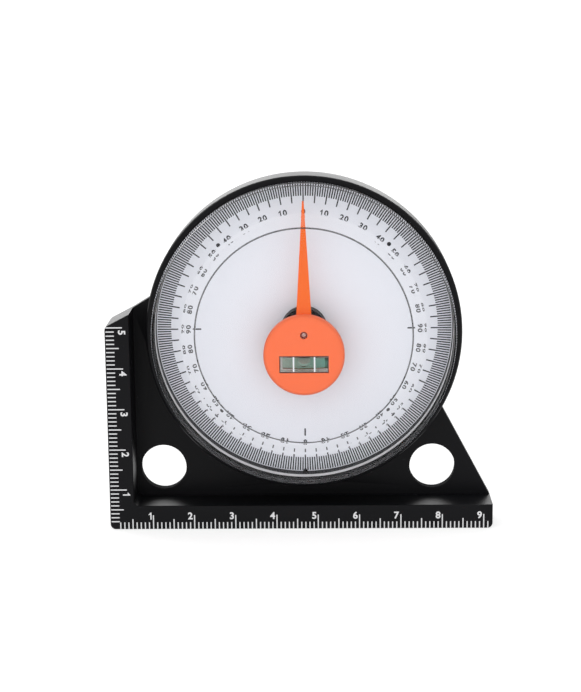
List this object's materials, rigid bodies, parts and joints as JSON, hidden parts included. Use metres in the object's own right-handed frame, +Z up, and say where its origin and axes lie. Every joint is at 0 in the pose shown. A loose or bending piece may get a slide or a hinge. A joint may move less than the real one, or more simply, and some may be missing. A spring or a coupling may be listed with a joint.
{
  "type": "magnetic angle level",
  "caption": "Pendulum angle level: ruled L-shaped body with a round dial under a clear raised cover, a weighted needle with a small vial, and magnets in a grooved base.",
  "frame": {"origin": "middle of the footprint, on the plane the base stands on", "axes": "+X along the base ruler away from the upright ruler, +Y from the dial towards the flat back, +Z up"},
  "size_m": [0.0926, 0.0132, 0.0856],
  "materials": {
    "black_plastic": "satin black moulded plastic",
    "clear_plastic": "clear polished plastic",
    "dial_white": "white printed card",
    "adhesive": "thin adhesive film",
    "steel": "bright steel",
    "white_nylon": "natural nylon",
    "brass": "turned brass",
    "orange_plastic": "satin orange plastic",
    "green_liquid": "pale green spirit",
    "black_rubber": "dull black rubber",
    "magnet": "dark ferrite"
  },
  "bodies": {
    "case": {"housing": "black_plastic", "lens": "clear_plastic", "dial_card": "dial_white", "card_adhesive": "adhesive", "axle_pin": "steel", "rear_washer": "white_nylon", "front_washer": "white_nylon", "axle_clip": "steel", "magnet_left": "magnet", "magnet_middle": "magnet", "magnet_right": "magnet"},
    "pendulum": {"needle_plate": "orange_plastic", "pendulum_cover": "orange_plastic", "bearing_bush": "brass", "counterweight": "steel", "vial_block": "clear_plastic", "vial_liquid": "green_liquid", "vial_plug": "black_rubber"}
  },
  "joints": [
    {"name": "pendulum_swing", "type": "hinge", "parent": "case", "child": "pendulum", "pos_m": [0.00105, 0, 0.0479], "axis": [0, 1, 0], "continuous": true}
  ]
}
